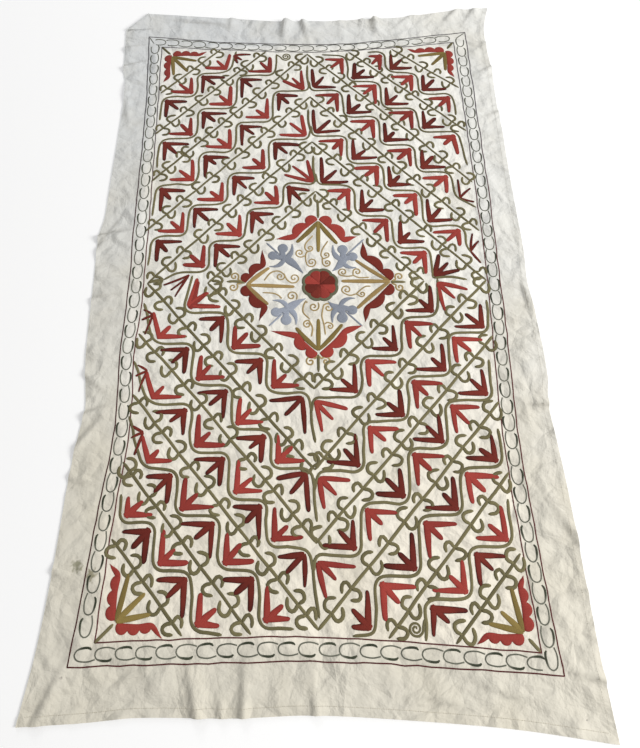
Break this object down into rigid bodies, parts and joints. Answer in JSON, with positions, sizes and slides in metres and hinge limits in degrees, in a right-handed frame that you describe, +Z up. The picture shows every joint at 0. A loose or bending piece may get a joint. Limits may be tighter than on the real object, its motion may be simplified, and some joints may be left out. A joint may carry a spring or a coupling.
{
  "type": "suzani embroidered textile",
  "caption": "Rectangular embroidered cotton cloth laid flat, with a plain margin, a hemmed edge, soft edge creases and its far left corner turned over.",
  "frame": {"origin": "on the surface that the cloth lies on, under the middle of its outline", "axes": "+X to the cloth's right, +Y along its length towards the turned-over corner's end, +Z up out of the embroidered face"},
  "size_m": [1.29, 2.176, 0.0148],
  "materials": {
    "cotton": "plain woven undyed cotton, matt",
    "red_thread": "chain-stitched cotton thread, light red",
    "maroon_thread": "chain-stitched cotton thread, dark maroon",
    "olive_thread": "chain-stitched cotton thread, olive",
    "gold_thread": "chain-stitched cotton thread, old gold",
    "blue_thread": "chain-stitched cotton thread, blue-grey",
    "dark_thread": "thin dark brown-red outline thread",
    "hem_thread": "undyed sewing thread"
  },
  "bodies": {
    "root": {"ground_cloth": "cotton"}
  },
  "joints": []
}
